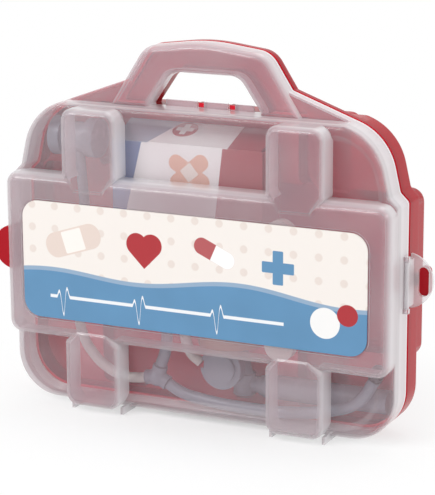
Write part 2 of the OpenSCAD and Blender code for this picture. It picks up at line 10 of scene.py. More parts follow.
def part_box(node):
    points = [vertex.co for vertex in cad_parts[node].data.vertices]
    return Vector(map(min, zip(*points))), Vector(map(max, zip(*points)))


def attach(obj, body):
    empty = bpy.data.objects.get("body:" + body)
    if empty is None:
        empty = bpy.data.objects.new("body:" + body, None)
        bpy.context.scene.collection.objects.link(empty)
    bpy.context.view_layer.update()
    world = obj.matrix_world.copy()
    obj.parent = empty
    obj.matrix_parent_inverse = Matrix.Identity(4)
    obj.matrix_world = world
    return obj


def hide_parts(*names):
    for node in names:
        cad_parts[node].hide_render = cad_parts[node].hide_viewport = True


bl_info = {
    "name": "Toy doctor case",
    "version": (1, 0, 0),
    "blender": (4, 5, 0),
    "location": "View3D > Sidebar > Doctor Case",
    "description": "Builds a toy doctor case with its shells, label and play instruments",
    "category": "Add Mesh",
}

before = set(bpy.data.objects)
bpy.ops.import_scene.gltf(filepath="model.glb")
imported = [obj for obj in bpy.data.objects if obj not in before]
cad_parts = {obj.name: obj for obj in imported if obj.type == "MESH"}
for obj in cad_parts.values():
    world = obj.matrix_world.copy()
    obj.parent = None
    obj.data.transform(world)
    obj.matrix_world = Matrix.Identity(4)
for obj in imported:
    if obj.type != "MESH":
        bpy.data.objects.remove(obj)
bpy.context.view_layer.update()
MM = 0.001

# How opaque one wall of the front shell is, by its depth from the parting plane in mm
SHELL_VEILS = ((0.0, 0.45), (1.6, 0.45), (2.4, 0.28), (8.2, 0.28), (10.0, 0.30), (13.0, 0.30),
               (15.0, 0.18), (18.6, 0.18), (21.0, 0.19), (25.0, 0.25), (36.0, 0.28))
VEIL_REACH = 40.0  # depth in mm at the end of the table's colour ramp

# Where the signs sit on the label, in mm: across from its middle and up from its middle
PLASTER, HEART, CAPSULE, CAPSULE_END = (-84.0, 15.0), (-32.0, 12.0), (18.0, 17.0), (25.0, 13.9)
PLUS, PULSE, WHITE_SPOT, RED_SPOT = (62.0, 12.0), (-18.0, -24.0), (94.0, -20.0), (109.0, -13.5)
PLASTER_TURN, CAPSULE_TURN = 18, -24
CARTON_WHITE = (0.93, 0.93, 0.93)

# The camera fitted to the photograph, angles in degrees, lengths in metres
PHOTO_SIZE = (435, 495)
FOCAL_PIXELS = 2080.8
SENSOR_MM = 36.0
AZIMUTH, ELEVATION, ROLL = 25.34, 14.15, -0.32
LOOK_AT = (0.00439, 0.0, 0.11446)
CAMERA_DISTANCE = 1.3536

# Lamps as name, place, diameter and power
LAMPS = (("key lamp", (-0.9, -1.5, 1.7), 1.2, 21), ("side lamp", (1.7, -0.5, 0.9), 0.9, 6),
         ("top lamp", (0.1, 0.5, 1.9), 1.1, 8))
LAMP_TARGET = (0.0, 0.0, 0.1)
WORLD_LIGHT = 0.55
SHOWS_WHITE = ("Is Camera Ray", "Is Glossy Ray", "Is Transmission Ray")
# The floor's share of plain white: near the case, and how it grows outwards, in mm
FLOOR_WHITE, WHITE_FROM, WHITE_OVER = 0.54, 60.0, 360.0

# Small lengths of the shells, in metres
HAIR = 0.00001  # less than any visible edge
OVER = 0.001  # how far a cutting form reaches past what it cuts
PLATE_EDGE, RIM_EDGE, PANEL_EDGE = 0.0015, 0.0045, 0.0045
HANDLE_STEP = 0.0002  # keeps the handle's sides clear of the plate's
PIN_BORE, KNUCKLE_PLAY, KNUCKLE_ROOM = 0.00105, 0.00015, 0.0004


# ---------------------------------------------------------------- sizes and colours

def length(title, about, value):
    """A size in metres that shows in the sidebar."""
    return FloatProperty(name=title, description=about, default=value, unit="LENGTH", precision=4)


def colour(title, about, srgb):
    """A colour written as the eye sees it, from 0 to 255."""
    return FloatVectorProperty(name=title, description=about, size=3, subtype="COLOR",
                               min=0.0, max=1.0, default=[linear(c / 255) for c in srgb])


def linear(c):
    """Light value of a colour channel that is written as the eye sees it."""
    return c / 12.92 if c <= 0.04045 else ((c + 0.055) / 1.055) ** 2.4


class CaseSizes(bpy.types.PropertyGroup):
    """Sizes of the shells, the same as in the solid model"""
    half_width: length("Half width", "Half width of the case at the parting plane", 0.136)
    foot: length("Foot height", "Height of the case bottom above the surface", 0.004)
    ledge: length("Ledge height", "Height of the ledge under the handle", 0.206)
    waist: length("Waist height", "Height at which the outline narrows", 0.157)
    shoulder_half_width: length("Shoulder half width", "Half width under the shoulder", 0.1222)
    shoulder: length("Shoulder height", "Height of the shoulder corner", 0.198)
    wall: length("Wall", "Wall thickness of both shells", 0.002)
    plate_depth: length("Plate depth", "Depth of the shoulder plates", 0.008)
    rim_depth: length("Rim depth", "Depth of the deep body's rim", 0.022)
    panel_depth: length("Panel depth", "Depth of the recessed panel floor", 0.0183)
    band_depth: length("Band depth", "Depth of the middle band", 0.034)
    band_low: length("Band bottom", "Bottom of the band", 0.0495)
    band_high: length("Band top", "Top of the band", 0.160)
    band_edge: length("Band edge", "Edge radius of the band", 0.007)
    strap_over: length("Strap height", "How far the straps stand over the band", 0.0015)
    strap_inner: length("Strap inner side", "Inner side of each strap", 0.0525)
    strap_width: length("Strap width", "Width of a strap", 0.0398)
    strap_edge: length("Strap edge", "Edge radius of the straps", 0.005)
    handle_half_width: length("Handle half width", "Half width at the handle's corners", 0.0427)
    handle_height: length("Handle height", "Height of the handle's upper corners", 0.2449)
    handle_rise: length("Handle rise", "Rise of the handle's middle", 0.0055)
    handle_depth: length("Handle depth", "Depth of the handle", 0.0125)
    handle_edge: length("Handle edge", "Edge radius of the handle", 0.0055)
    grip: length("Grip", "Thickness of the grip", 0.020)
    label_width: length("Label width", "Width of the picture label", 0.244)
    label_height: length("Label height", "Height of the picture label", 0.079)
    label_radius: length("Label corner", "Corner radius of the label", 0.0115)
    label_recess: length("Label recess", "Depth of the label recess", 0.001)
    gap: length("Parting gap", "Gap between the closed rims", 0.0003)
    groove: length("Parting groove", "Depth of the groove behind the front rim", 0.0017)
    groove_width: length("Groove width", "Width of the groove behind the front rim", 0.0024)
    label_margin: length("Label margin", "Gap round the label in its recess", 0.0012)
    hinge_height: length("Hinge height", "Height of the hinge pins", 0.0023)
    hinge_place: length("Hinge place", "Distance of each hinge from the middle", 0.030)
    knuckle: length("Knuckle", "Length of one hinge knuckle", 0.010)
    knuckle_radius: length("Knuckle radius", "Radius of the hinge knuckles", 0.0019)
    latch_height: length("Latch height", "Height of the latch centres", 0.1055)
    latch_width: length("Latch width", "Width of the latch tabs", 0.030)
    arc: IntProperty(name="Corner steps", description="Steps in a rounded corner",
                     default=10, min=3, max=24)
    steps: IntProperty(name="Edge steps", description="Steps in a rounded edge",
                       default=6, min=2, max=12)


class CaseColours(bpy.types.PropertyGroup):
    """Colours of the mouldings and prints"""
    # The rose of the milky flats is painted red light: it stands in for light that the red back
    # shell throws into the frosted wall
    milky: colour("Milky", "Flats of the translucent front shell", (212, 180, 190))
    # Pale on the shell's edges is partly the thicker frost seen slantwise and partly a painted
    # highlight
    pale: colour("Pale", "Edges of the translucent front shell", (244, 240, 243))
    red: colour("Red", "Opaque red shell and latch", (178, 20, 34))
    # Red inside is a painted lit copy of the red: it stands in for light that comes through the
    # front shell onto the inner faces
    inside: colour("Red inside", "Inner faces of the red shell", (235, 34, 56))
    grey: colour("Grey", "Grey instruments", (138, 147, 160))
    white: colour("White", "White instruments and hose", (222, 219, 214))
    dark: colour("Dark", "Soft ear tips", (52, 54, 58))
    amber: colour("Amber", "Pill jar", (205, 128, 58))
    clear: colour("Clear", "Syringe barrel and lens", (205, 218, 226))
    steel: colour("Steel", "Hinge wire", (170, 170, 172))
    cream: colour("Cream", "Upper part of the label", (247, 240, 234))
    beige: colour("Beige", "Plaster on the label", (234, 216, 206))
    blue: colour("Blue", "Wave on the label", (90, 144, 186))
    carton_blue: colour("Carton blue", "Side of the carton", (70, 118, 172))
    floor: colour("Floor", "Studio floor", (255, 255, 255))


# ---------------------------------------------------------------- finishes

class Wire:
    """A node socket that can be used in sums like a number"""

    def __init__(self, finish, socket):
        self.finish = finish
        self.socket = socket

    def math(self, operation, *others, **settings):
        return self.finish.add("ShaderNodeMath", [self, *others], operation=operation, **settings)

    def __add__(self, other):
        return self.math("ADD", other)

    __radd__ = __add__

    def __mul__(self, other):
        return self.math("MULTIPLY", other)

    __rmul__ = __mul__

    def __sub__(self, other):
        return self.math("SUBTRACT", other)

    def __rsub__(self, other):
        return self.finish.add("ShaderNodeMath", [other, self], operation="SUBTRACT")

    def __truediv__(self, other):
        return self.math("DIVIDE", other)

    def __pow__(self, other):
        return self.math("POWER", other)

    def __abs__(self):
        return self.math("ABSOLUTE")

    def __mod__(self, other):
        return self.math("FLOORED_MODULO", other)

    def sine(self):
        return self.math("SINE")

    def least(self, other):
        return self.math("MINIMUM", other)

    def most(self, other):
        return self.math("MAXIMUM", other)

    def root(self):
        return self.math("SQRT")

    def clamped(self):
        """The value, held between 0 and 1."""
        return self.math("ADD", 0.0, use_clamp=True)


class Finish:
    """A material whose nodes are written as expressions"""

    def __init__(self, name):
        self.material = bpy.data.materials.new(name)
        self.material.use_nodes = True
        self.tree = self.material.node_tree
        self.surface = self.tree.nodes["Principled BSDF"]
        self.place = self.add("ShaderNodeTexCoord", out="Object")

    def add(self, kind, inputs=(), out=0, stops=None, **settings):
        """Makes a node, sets its inputs by place or name, and gives one output."""
        node = self.tree.nodes.new(kind)
        for key, value in settings.items():
            setattr(node, key, value)
        if stops:
            ramp = node.color_ramp.elements
            while len(ramp) < len(stops):
                ramp.new(0.5)
            for element, (at, shade) in zip(ramp, stops):
                element.position = at
                element.color = (*shade, 1.0)
        pairs = inputs.items() if isinstance(inputs, dict) else enumerate(inputs)
        for key, value in pairs:
            self.set(node.inputs[key], value)
        return Wire(self, node.outputs[out])

    def set(self, socket, value):
        """Links a wire to a socket, or writes a plain value into it."""
        if isinstance(value, Wire):
            self.tree.links.new(value.socket, socket)
        elif socket.type == "RGBA" and len(value) == 3:
            socket.default_value = (*value, 1.0)
        else:
            socket.default_value = value

    def give(self, **values):
        """Sets the surface's own sockets, with underscores for spaces."""
        for key, value in values.items():
            name = key.replace("_", " ").title().replace("Ior", "IOR")
            self.set(self.surface.inputs[name], value)
        return self

    def parts(self, socket):
        """The x, y and z of a vector output."""
        split = self.tree.nodes.new("ShaderNodeSeparateXYZ")
        self.tree.links.new(socket, split.inputs[0])
        return [Wire(self, s) for s in split.outputs]

    def xyz(self):
        """Place on the object in millimetres."""
        return [part / MM for part in self.parts(self.place.socket)]

    def facing_y(self):
        """How far the surface faces along Y on the object, from -1 to 1."""
        return self.parts(self.place.socket.node.outputs["Normal"])[1]

    def noise(self, size_mm, detail=2.0, roughness=0.5):
        """Soft random pattern from 0 to 1 with marks of about one size."""
        return self.add("ShaderNodeTexNoise", {"Vector": self.place, "Scale": 1 / (size_mm * MM),
                                               "Detail": detail, "Roughness": roughness})

    def mix(self, factor, a, b):
        """Colour a where the factor is 0 and b where it is 1."""
        return self.add("ShaderNodeMix", {0: factor, 6: a, 7: b}, out=2, data_type="RGBA")

    def shade(self, base, amount, factor):
        """The base colour, darkened and lightened a little over the surface."""
        return self.mix(factor, scaled(base, 1 - amount), scaled(base, 1 + amount))

    def bump(self, height, strength, distance_mm):
        """Fine relief for the surface's normal."""
        return self.add("ShaderNodeBump", {"Strength": strength, "Distance": distance_mm * MM,
                                           "Height": height})


def scaled(shade, factor):
    """A colour made darker or lighter."""
    return [min(c * factor, 1) for c in shade]


def blended(a, b, share):
    """The colour that lies at a share of the way from a to b."""
    return [c * (1 - share) + d * share for c, d in zip(a, b)]


def moulded(name, base, roughness=0.28, spread=0.05, bump=0.04, grain=0.3):
    """Smooth moulded plastic with faint flow marks and handling wear."""
    f = Finish(name)
    flow = f.noise(38, 3)
    fine = f.noise(1.1, 2)
    rub = f.noise(9, 4, 0.6)
    f.give(base_color=f.shade(base, spread, flow), roughness=roughness - 0.04 + 0.09 * rub,
           normal=f.bump(fine * grain + flow, bump, 0.5))
    return f


def milky_plastic(name, base, veil, edge, bump=0.03, pale=None):
    """Frosted translucent moulding, denser and whiter where a wall turns away; the whiter colour is
    partly the thicker frost seen slantwise and partly a painted highlight on the rounded edges.

    veil is how opaque a flat wall is, or a table of that by depth; edge is what turning adds.
    """
    f = moulded(name, base, roughness=0.2, spread=0.02, bump=bump)
    cloud, cloudy = f.noise(60, 2), 0.04
    turned = 1 - abs(f.facing_y())
    if isinstance(veil, tuple):
        deep = f.xyz()[1] / -VEIL_REACH
        stops = [(depth / VEIL_REACH, (opaque, opaque, opaque)) for depth, opaque in veil]
        veil = f.add("ShaderNodeValToRGB", [deep], stops=stops)
    if pale:
        patches = f.noise(55, 1).math("MULTIPLY_ADD", 3.0, -1.0, use_clamp=True)
        flat = f.mix(patches, base, blended(base, pale, 0.4))
        # Partly painted highlight: the colour turns pale where the wall turns away, partly the
        # thicker frost seen slantwise
        f.give(base_color=f.mix((turned * 1.4).least(1.0), flat, pale))
    f.give(alpha=veil - cloudy / 2 + cloudy * cloud + turned * edge, ior=1.5,
           coat_weight=0.9, coat_roughness=0.07)
    return f


def glossy_red(name, base, inside=None):
    """Opaque red moulding; given inside, a painted lighter red on the faces that look into the case
    stands in for light let through the front shell, and painted shade darkens the outer red near
    the parting rim.
    """
    f = moulded(name, base, roughness=0.24, spread=0.05, bump=0.03, grain=0.08)
    f.give(specular_ior_level=0.14)
    if inside:
        # Painted shade: the outer red darkens towards the parting rim, within rim_mm of it, where
        # the front shell's lip shades it
        rim_mm, rim_share, rim_shade = 9.0, 0.45, 0.35
        # Painted light: faces that look into the case take the lighter inside red
        painted_light_inward = (f.facing_y() * -1.5).clamped()
        painted_shade_by_rim = 1 - (f.xyz()[1] / rim_mm).clamped()
        outside = f.mix(painted_shade_by_rim * rim_share, f.shade(base, 0.05, f.noise(38, 3)),
                        scaled(base, rim_shade))
        f.give(base_color=f.mix(painted_light_inward, outside, inside))
    return f


def disc(x, z, cx, cz, radius, soft=0.35):
    """1 inside a round spot, falling to 0 over a soft edge."""
    far = ((x - cx) ** 2.0 + (z - cz) ** 2.0).root()
    return ((radius - far) / soft + 0.5).clamped()


def bar(x, z, cx, cz, half_w, half_h, radius=1.0, turn=0.0, soft=0.35):
    """1 inside a rectangle with rounded corners, turned by an angle in degrees."""
    c, s = math.cos(math.radians(turn)), math.sin(math.radians(turn))
    u, v = (x - cx) * c + (z - cz) * s, (z - cz) * c - (x - cx) * s
    a, b = (abs(u) - (half_w - radius)).most(0.0), (abs(v) - (half_h - radius)).most(0.0)
    far = (a * a + b * b).root()
    return ((radius - far) / soft + 0.5).clamped()


def plus(x, z, cx, cz, reach, half, radius):
    """1 inside an upright cross of two bars."""
    return bar(x, z, cx, cz, reach, half, radius).most(bar(x, z, cx, cz, half, reach, radius))


def heart(x, z, cx, cz, size):
    """1 inside a heart of two round lobes over a point."""
    low = bar(x, z, cx, cz, size / 2, size / 2, radius=0.4, turn=45)
    k = size * 0.3536  # half the square's side, seen along its diagonal
    return (low.most(disc(x, z, cx - k, cz + k, size / 2))
            .most(disc(x, z, cx + k, cz + k, size / 2)))


def printed_label(name, tones, low, high):
    """Glossy card with dots on cream over a blue wave, and plain medical signs, in mm."""
    f = Finish(name)
    x, _, z = f.xyz()
    mid = (low + high) / 2

    def below_wave(drop):
        """1 under a wavy line that runs lower than the label's middle."""
        line = (x * 0.045).sine() * 3.2 + (x * 0.017 + 1.1).sine() * 2.2 + (mid - drop)
        return ((line - z) / 0.4 + 0.5).clamped()

    def at(sign):
        """The places on the card and the sign's own place, as the sign functions take them."""
        return x, z, sign[0], mid + sign[1]

    across, up = 17.0, 15.0
    dots = disc((x + 4.0) % across, (z + 3.0) % up, across / 2, up / 2, 2.6, soft=0.8)
    picture = f.mix(dots * 0.55, tones.cream, scaled(tones.beige, 0.93))
    wave, crest = below_wave(9.0), below_wave(6.2)
    picture = f.mix(crest, picture, [c * 0.75 + 0.22 for c in tones.blue])
    picture = f.mix(wave, picture, f.shade(tones.blue, 0.10, f.noise(30, 2)))

    plaster = bar(*at(PLASTER), 21.0, 8.5, radius=8.0, turn=PLASTER_TURN)
    pad = bar(*at(PLASTER), 7.5, 7.4, turn=PLASTER_TURN)
    picture = f.mix(plaster, picture, tones.beige)
    picture = f.mix(pad, picture, scaled(tones.cream, 1.07))
    picture = f.mix(heart(*at(HEART), 15.0), picture, tones.red)
    capsule = bar(*at(CAPSULE), 15.0, 5.6, radius=5.4, turn=CAPSULE_TURN)
    white_end = bar(*at(CAPSULE_END), 8.5, 7.0, radius=0.3, turn=CAPSULE_TURN)
    picture = f.mix(capsule, picture, [c * 0.9 + 0.08 for c in tones.red])
    picture = f.mix(capsule * white_end, picture, [1.0, 1.0, 0.98])
    picture = f.mix(plus(*at(PLUS), 11.0, 3.6, 0.8), picture, tones.blue)

    pulse_every, line_z = 56.0, mid + PULSE[1]
    beat = abs(((x + 8.0) % pulse_every) - pulse_every / 2) * -2.6 + 13.0
    beat = beat.most(0.0) * ((x * 0.9).sine())
    line = 1 - (abs(z - line_z - beat) / 1.3)
    line = (line * 3.0).clamped() * bar(*at(PULSE), 84.0, 16.0)
    picture = f.mix(line * 0.9, picture, [1.0, 1.0, 1.0])
    picture = f.mix(disc(*at(WHITE_SPOT), 10.0), picture, [0.95, 0.94, 0.93])
    picture = f.mix(disc(*at(RED_SPOT), 7.0), picture, tones.red)
    f.give(base_color=picture, roughness=0.22 + 0.06 * f.noise(14, 3),
           normal=f.bump(f.noise(0.7, 2), 0.03, 0.3), coat_weight=0.35, coat_roughness=0.06)
    return f


def carton_paper(f, picture):
    """Gives a carton's picture the surface of coated paper board."""
    return f.give(base_color=picture, roughness=0.42 + 0.08 * f.noise(8, 3),
                  normal=f.bump(f.noise(0.5, 3), 0.06, 0.3))


def printed_carton(name, tones, box):
    """Folding carton: blue panel, white middle with two crossed plasters, red panel."""
    f = Finish(name)
    x, _, z = f.xyz()
    (x0, _, z0), (x1, _, z1) = [[c / MM for c in corner] for corner in box]
    w, h = x1 - x0, z1 - z0
    left = ((x0 + w * 0.20 - (z1 - z) * 0.25 - x) / 0.3 + 0.5).clamped()
    right = ((x - (x1 - w * 0.26) + (z1 - z) * 0.12) / 0.3 + 0.5).clamped()
    picture = f.mix(left, CARTON_WHITE, tones.carton_blue)
    picture = f.mix(right, picture, scaled(tones.red, 0.85))
    place = (x0 + w * 0.52, z0 + h * 0.70)
    tan = [c * s for c, s in zip(tones.beige, (1.0, 0.72, 0.6))]
    for turn in (-32, 40):
        picture = f.mix(bar(x, z, *place, 16.0, 5.4, 5.2, turn), picture, tan)
        picture = f.mix(bar(x, z, *place, 4.6, 4.8, 0.6, turn), picture, [0.9, 0.84, 0.78])
    return carton_paper(f, picture)


def printed_flap(name, tones, box):
    """Top flap of the carton: white between a blue and a red end."""
    f = Finish(name)
    x, y, _ = f.xyz()
    (x0, y0, _), (x1, _, _) = [[c / MM for c in corner] for corner in box]
    w = x1 - x0
    blue = ((x0 + w * 0.24 - x + 0.5 * (y - y0)) / 0.3 + 0.5).clamped()
    red = ((x - (x1 - w * 0.22)) / 0.3 + 0.5).clamped()
    picture = f.mix(blue, CARTON_WHITE, [c * 0.5 + 0.3 for c in tones.blue])
    return carton_paper(f, f.mix(red, picture, scaled(tones.red, 0.85)))


def printed_badge(name, tones, box):
    """White plus on a red disc."""
    f = Finish(name)
    x, y, _ = f.xyz()
    cx, cy = [(box[0][i] + box[1][i]) / 2 / MM for i in (0, 1)]
    cross = plus(x, y, cx, cy, 6.0, 2.0, 0.3)
    return f.give(base_color=f.mix(cross, tones.red, [0.92, 0.92, 0.9]),
                  roughness=0.35 + 0.08 * f.noise(6, 3),
                  normal=f.bump(f.noise(0.5, 3), 0.05, 0.3))


def brushed_steel(name, base):
    """Plain wire with faint drawing marks along X."""
    f = Finish(name)
    x, y, z = f.xyz()
    along = f.add("ShaderNodeCombineXYZ", [x * 0.05, y * 6.0, z * 6.0])
    grain = f.add("ShaderNodeTexNoise", {"Vector": along, "Scale": 1.0, "Detail": 3.0})
    return f.give(base_color=f.shade(base, 0.12, grain), metallic=1.0,
                  roughness=0.24 + 0.14 * grain, normal=f.bump(grain, 0.05, 0.2))


# ---------------------------------------------------------------- forms

def corner_points(corners, i, inset, arc):
    """Points of one rounded corner of an outline given as (x, z, radius), drawn in by inset.

    arc is how many steps a right-angled corner of a wide radius takes.
    """
    least_radius, sharp_radius, wide_radius = 0.00005, 0.0015, 0.03
    p = Vector(corners[i][:2])
    before, after = Vector(corners[i - 1][:2]), Vector(corners[(i + 1) % len(corners)][:2])
    u, v = (p - before).normalized(), (after - p).normalized()
    nu, nv = Vector((-u.y, u.x)), Vector((-v.y, v.x))
    q = p + inset * (nu + nv) / (1 + nu.dot(nv))
    turn = math.atan2(u.x * v.y - u.y * v.x, u.dot(v))
    side = 1 if turn > 0 else -1
    radius = max(corners[i][2] - inset * side, least_radius)
    start = q - u * abs(radius * math.tan(turn / 2))
    centre = start + side * radius * nu
    wide = min(corners[i][2], wide_radius) / wide_radius
    n = 2 if corners[i][2] < sharp_radius else max(3, int(arc * (0.5 + wide)))
    return [centre + Matrix.Rotation(turn * j / n, 2) @ (start - centre) for j in range(n + 1)]


def outline(corners, inset, arc):
    """All points round an outline with rounded corners."""
    return [p for i in range(len(corners)) for p in corner_points(corners, i, inset, arc)]


def both_sides(right):
    """A whole outline from the corners of its right half."""
    return right + [(-x, z, r) for x, z, r in reversed(right) if abs(x) > 1e-6]


def mirrored(corners):
    """The same outline on the other side of the middle."""
    return [(-x, z, r) for x, z, r in reversed(corners)]


class Block:
    """A closed solid that is joined with +, cut with - and shared with &"""

    def __init__(self, mesh):
        self.obj = bpy.data.objects.new("block", mesh)
        bpy.context.scene.collection.objects.link(self.obj)

    def combined(self, other, operation):
        cut = self.obj.modifiers.new("cut", "BOOLEAN")
        cut.operation, cut.object, cut.solver = operation, other.obj, "MANIFOLD"
        graph = bpy.context.evaluated_depsgraph_get()
        mesh = bpy.data.meshes.new_from_object(self.obj.evaluated_get(graph))
        for old in (self.obj, other.obj):
            spent = old.data
            bpy.data.objects.remove(old)
            bpy.data.meshes.remove(spent)
        return Block(mesh)

    def __add__(self, other):
        return self.combined(other, "UNION")

    def __sub__(self, other):
        return self.combined(other, "DIFFERENCE")

    def __and__(self, other):
        return self.combined(other, "INTERSECT")


def loft(rings):
    """Skin over outlines [(points, depth), ...] from back to front, depth along -Y."""
    mesh = bpy.data.meshes.new("loft")
    n = len(rings[0][0])
    points = [(p[0], -depth, p[1]) for ring, depth in rings for p in ring]
    last = (len(rings) - 1) * n
    faces = [list(reversed(range(n))), [last + i for i in range(n)]]
    for j in range(len(rings) - 1):
        for i in range(n):
            a, b = j * n + i, j * n + (i + 1) % n
            faces.append([a, b, b + n, a + n])
    mesh.from_pydata(points, [], faces)
    mesh.update()
    return Block(mesh)


def rounded_rings(corners, depth, edge, inset, arc, steps):
    """Outlines that step round a front edge; they narrow, or widen where edge is negative."""
    rings = []
    for step in range(steps + 1):
        a = math.radians(90 * step / steps)
        rings.append((outline(corners, inset + edge * (1 - math.cos(a)), arc),
                      depth - abs(edge) * (1 - math.sin(a))))
    return rings


def boss(corners, depth, edge, back, inset, arc, steps):
    """Raised form with a rounded front edge."""
    return loft([(outline(corners, inset, arc), back)]
                + rounded_rings(corners, depth, edge, inset, arc, steps))


def slab(corners, start, end, inset, arc):
    """Straight form between two depths."""
    return loft([(outline(corners, inset, arc), start), (outline(corners, inset, arc), end)])


def brick(low, high):
    """A straight block between two corners, in metres."""
    corners = [(high[0], low[2]), (high[0], high[2]), (low[0], high[2]), (low[0], low[2])]
    return slab([(x, z, HAIR) for x, z in corners], -high[1], -low[1], 0.0, 1)


def rod(centre, reach, radius, turn=None):
    """A round bar along Z, or turned to lie along X."""
    mesh = bpy.data.meshes.new("rod")
    shape = bmesh.new()
    bmesh.ops.create_cone(shape, cap_ends=True, segments=32, radius1=radius, radius2=radius,
                          depth=2 * reach)
    lie = Matrix.Rotation(math.pi / 2, 4, "Y") if turn == "X" else Matrix()
    bmesh.ops.transform(shape, matrix=Matrix.Translation(centre) @ lie, verts=shape.verts)
    shape.to_mesh(mesh)
    shape.free()
    return Block(mesh)


def joined(blocks):
    """One solid made of several."""
    whole = blocks[0]
    for block in blocks[1:]:
        whole += block
    return whole


def piece(block, name, finish, body, nodes, sharp=32.0):
    """Turns a block into a finished piece that rides on a body; edges over sharp degrees show."""
    obj = block.obj
    obj.name = name
    obj.data.name = name
    obj.data.materials.clear()
    obj.data.materials.append(finish.material)
    shape = bmesh.new()
    shape.from_mesh(obj.data)
    bmesh.ops.remove_doubles(shape, verts=shape.verts, dist=2 * HAIR)
    bmesh.ops.dissolve_degenerate(shape, edges=shape.edges, dist=HAIR)
    for edge in shape.edges:
        edge.smooth = len(edge.link_faces) == 2 and edge.calc_face_angle(0.0) < math.radians(sharp)
    for face in shape.faces:
        face.smooth = True
    shape.to_mesh(obj.data)
    shape.free()
    weighted = obj.modifiers.new("even shading", "WEIGHTED_NORMAL")
    weighted.keep_sharp = True
    weighted.weight = 100
    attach(obj, body)
    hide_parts(*nodes)


def tube(name, points, radius, finish, body, nodes):
    """Round tube of even thickness along a smooth line through points in mm."""
    line = bpy.data.curves.new(name, "CURVE")
    line.dimensions = "3D"
    line.bevel_depth = radius
    line.bevel_resolution = 5
    line.use_fill_caps = True
    line.resolution_u = 6
    spline = line.splines.new("BEZIER")
    spline.bezier_points.add(len(points) - 1)
    for knot, p in zip(spline.bezier_points, points):
        knot.co = [c * MM for c in p]
        knot.handle_left_type = knot.handle_right_type = "AUTO"
    holder = bpy.data.objects.new(name, line)
    bpy.context.scene.collection.objects.link(holder)
    graph = bpy.context.evaluated_depsgraph_get()
    mesh = bpy.data.meshes.new_from_object(holder.evaluated_get(graph))
    bpy.data.objects.remove(holder)
    bpy.data.curves.remove(line)
    piece(Block(mesh), name, finish, body, nodes, sharp=60)


class CaseOutlines:
    """Outlines of the shells from the sizes, corners as (x, z, radius)"""
    # Corner radii
    foot_r, waist_r, shoulder_r, ledge_r = 0.030, 0.004, 0.038, 0.008
    leg_r, handle_r, grip_r, hole_r = 0.002, 0.016, 0.120, 0.012
    panel_foot_r, panel_waist_r, panel_ledge_r = 0.022, 0.040, 0.026
    band_r, strap_r, strap_band_r, strap_tip_r, keen_r = 0.009, 0.008, 0.003, 0.002, 0.001
    # How far one corner lies from another or from a size: x, then z
    waist_step = (0.0057, 0.0055)
    leg_step = (0.0149, 0.0233)
    ledge_in = 0.022
    panel_foot, panel_waist, panel_ledge = (0.014, 0.0095), (0.0135, 0.008), (0.0077, 0.0105)
    band_in, handle_sunk = 0.0002, 0.002
    hole_foot_in, hole_top_in, hole_share = 0.0288, 0.0186, 0.2
    label_drop = 0.002
    strap_past_band, strap_below_ledge, strap_over_foot = 0.001, 0.001, 0.0005
    high_tip_out, high_tip_in, high_tip_z = 0.0083, 0.0085, 0.0115
    low_tip_out, low_tip_in, low_tip_z = 0.0093, 0.0085, 0.0078
    rib_inner, rib_outer = 0.0015, 0.0018

    def __init__(self, s):
        w, foot, ledge = s.half_width, s.foot, s.ledge
        hw, hz = s.handle_half_width, s.handle_height
        leg_x, leg_z = hw + self.leg_step[0], hz - self.leg_step[1]
        foot_x = leg_x + (leg_z - ledge + self.handle_sunk) * self.leg_step[0] / self.leg_step[1]
        top = hz + s.handle_rise
        side = [(w, foot, self.foot_r), (w, s.waist, self.waist_r),
                (w - self.waist_step[0], s.waist + self.waist_step[1], self.waist_r),
                (s.shoulder_half_width, s.shoulder, self.shoulder_r)]
        grip = [(hw, hz, self.handle_r), (0.0, top, self.grip_r)]
        self.case = both_sides(side + [(leg_x, leg_z, self.leg_r)] + grip)
        self.box = both_sides(side + [(s.shoulder_half_width - self.ledge_in, ledge, self.ledge_r)])
        self.panel = both_sides([
            (w - self.panel_foot[0], foot + self.panel_foot[1], self.panel_foot_r),
            (w - self.panel_waist[0], s.waist + self.panel_waist[1], self.panel_waist_r),
            (s.shoulder_half_width - self.panel_ledge[0], ledge - self.panel_ledge[1],
             self.panel_ledge_r)])
        self.band = both_sides([(w - self.band_in, s.band_low, self.band_r),
                                (w - self.band_in, s.band_high, self.band_r)])
        self.handle = both_sides([(foot_x, ledge - self.handle_sunk, 10 * HAIR)] + grip)
        self.hole = both_sides([(foot_x - self.hole_foot_in, ledge, self.keen_r),
                                (hw - self.hole_top_in,
                                 top - s.handle_rise * self.hole_share - s.grip, self.hole_r)])
        mid = (s.band_low + s.band_high) / 2 - self.label_drop
        self.label_low, self.label_high = mid - s.label_height / 2, mid + s.label_height / 2
        self.label = both_sides([(s.label_width / 2, self.label_low, s.label_radius),
                                 (s.label_width / 2, self.label_high, s.label_radius)])
        x0, x1 = s.strap_inner, s.strap_inner + s.strap_width
        over, under = s.band_high + self.strap_past_band, s.band_low - self.strap_past_band
        end, tip = ledge - self.strap_below_ledge, s.band_high - self.high_tip_z
        high = [(x1 - self.high_tip_out, tip, self.strap_tip_r), (x1, over, self.strap_band_r),
                (x1, end, self.strap_r), (x0, end, self.strap_r),
                (x0, over, self.strap_band_r), (x0 + self.high_tip_in, tip, self.strap_tip_r)]
        end, tip = foot + self.strap_over_foot, s.band_low + self.low_tip_z
        low = [(x1, end, self.strap_r), (x1, under, self.strap_band_r),
               (x1 - self.low_tip_out, tip, self.strap_tip_r),
               (x0 + self.low_tip_in, tip, self.strap_tip_r),
               (x0, under, self.strap_band_r), (x0, end, self.strap_r)]
        self.straps = [high, low, mirrored(high), mirrored(low)]
        self.ribs = [side * x for side in (-1, 1)
                     for x in (x0 + self.rib_inner, x1 - self.rib_outer)]


